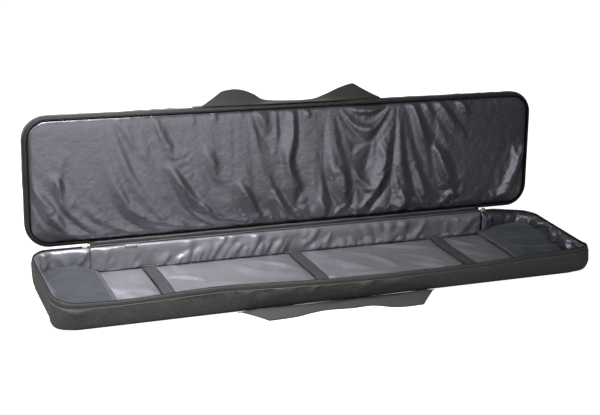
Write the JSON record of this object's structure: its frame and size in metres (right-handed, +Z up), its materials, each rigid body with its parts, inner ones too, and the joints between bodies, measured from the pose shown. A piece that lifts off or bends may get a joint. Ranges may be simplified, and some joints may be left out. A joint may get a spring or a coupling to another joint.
{
  "type": "rod case",
  "caption": "Soft padded rod case lying open: shallow lined tray with end pockets and rod straps, zip-around lid standing up on a fabric hinge, webbing handles.",
  "frame": {"origin": "middle of the flat underside of the tray, where the case rests on the ground", "axes": "+X along the case to its right end, +Y to the rear where the lid hinges, +Z up"},
  "size_m": [1.304, 0.4561, 0.4102],
  "materials": {
    "shell_fabric": "matte",
    "lining_satin": "satin",
    "pocket_tricot": "matte",
    "webbing": "matte",
    "zip_tape": "matte",
    "zip_coil": "satin",
    "edge_binding": "matte",
    "foam": "matte",
    "stiffener": "matte",
    "zip_metal": "satin",
    "hook_loop": "matte"
  },
  "bodies": {
    "tray": {"tray_bottom_panel": "shell_fabric", "tray_front_wall": "shell_fabric", "tray_left_end_wall": "shell_fabric", "tray_right_end_wall": "shell_fabric", "tray_rear_wall": "shell_fabric", "tray_stiffener_board": "stiffener", "tray_floor_foam": "foam", "tray_wall_foam": "foam", "tray_rear_lining": "lining_satin", "tray_left_end_lining": "lining_satin", "tray_right_end_lining": "lining_satin", "tray_front_lining": "lining_satin", "tray_floor_liner": "lining_satin", "tray_floor_piping": "edge_binding", "left_end_pocket": "pocket_tricot", "left_pocket_binding": "edge_binding", "right_end_pocket": "pocket_tricot", "right_pocket_binding": "edge_binding", "rod_strap_patch_1": "hook_loop", "rod_strap_patch_2": "hook_loop", "rod_strap_patch_3": "hook_loop", "tray_zip_tape": "zip_tape", "tray_zip_coil": "zip_coil", "left_zip_end_tab": "webbing", "right_zip_end_tab": "webbing", "fabric_hinge": "shell_fabric", "tray_rear_binding": "edge_binding", "small_loop_tab": "edge_binding", "tray_handle_tab_1": "webbing", "tray_handle_tab_2": "webbing"},
    "lid": {"lid_back_panel": "shell_fabric", "lid_front_wall": "shell_fabric", "lid_left_end_wall": "shell_fabric", "lid_right_end_wall": "shell_fabric", "lid_rear_wall": "shell_fabric", "lid_stiffener_board": "stiffener", "lid_foam_pad": "foam", "lid_wall_foam": "foam", "lid_lining": "lining_satin", "lid_rear_binding": "edge_binding", "lid_zip_tape": "zip_tape", "lid_zip_coil": "zip_coil", "lid_handle_tab_1": "webbing", "lid_handle_tab_2": "webbing"},
    "lid_handle": {"lid_handle": "webbing"},
    "tray_handle": {"tray_handle": "webbing"},
    "strap_1": {"rod_strap_1": "webbing"},
    "strap_2": {"rod_strap_2": "webbing"},
    "strap_3": {"rod_strap_3": "webbing"},
    "left_slider": {"left_zip_slider": "zip_metal"},
    "right_slider": {"right_zip_slider": "zip_metal"},
    "left_puller": {"left_zip_puller": "zip_metal"},
    "right_puller": {"right_zip_puller": "zip_metal"}
  },
  "joints": [
    {"name": "lid_hinge", "type": "hinge", "parent": "tray", "child": "lid", "pos_m": [0, 0.15, 0.072], "axis": [-1, 0, 0], "range_deg": [-96, 66]},
    {"name": "lid_handle_swing", "type": "hinge", "parent": "lid", "child": "lid_handle", "pos_m": [0, 0.18783, 0.3745], "axis": [1, 0, 0], "range_deg": [0, 100]},
    {"name": "tray_handle_swing", "type": "hinge", "parent": "tray", "child": "tray_handle", "pos_m": [0, -0.1515, 0.006], "axis": [-1, 0, 0], "range_deg": [0, 60]},
    {"name": "strap_1_lift", "type": "hinge", "parent": "tray", "child": "strap_1", "pos_m": [-0.376, 0.128, 0.0105], "axis": [-1, 0, 0], "range_deg": [0, 85]},
    {"name": "strap_2_lift", "type": "hinge", "parent": "tray", "child": "strap_2", "pos_m": [-0.011, 0.128, 0.0105], "axis": [-1, 0, 0], "range_deg": [0, 85]},
    {"name": "strap_3_lift", "type": "hinge", "parent": "tray", "child": "strap_3", "pos_m": [0.376, 0.128, 0.0105], "axis": [-1, 0, 0], "range_deg": [0, 85]},
    {"name": "left_slider_run", "type": "slide", "parent": "tray", "child": "left_slider", "axis": [-1, 0, 0], "range_m": [0, 0.06]},
    {"name": "left_puller_swing", "type": "hinge", "parent": "left_slider", "child": "left_puller", "pos_m": [-0.5215, 0.1501, 0.061], "axis": [-1, 0, 0], "range_deg": [-90, 0]},
    {"name": "right_slider_run", "type": "slide", "parent": "tray", "child": "right_slider", "axis": [1, 0, 0], "range_m": [0, 0.06]},
    {"name": "right_puller_swing", "type": "hinge", "parent": "right_slider", "child": "right_puller", "pos_m": [0.5215, 0.1501, 0.061], "axis": [-1, 0, 0], "range_deg": [-90, 0]}
  ]
}
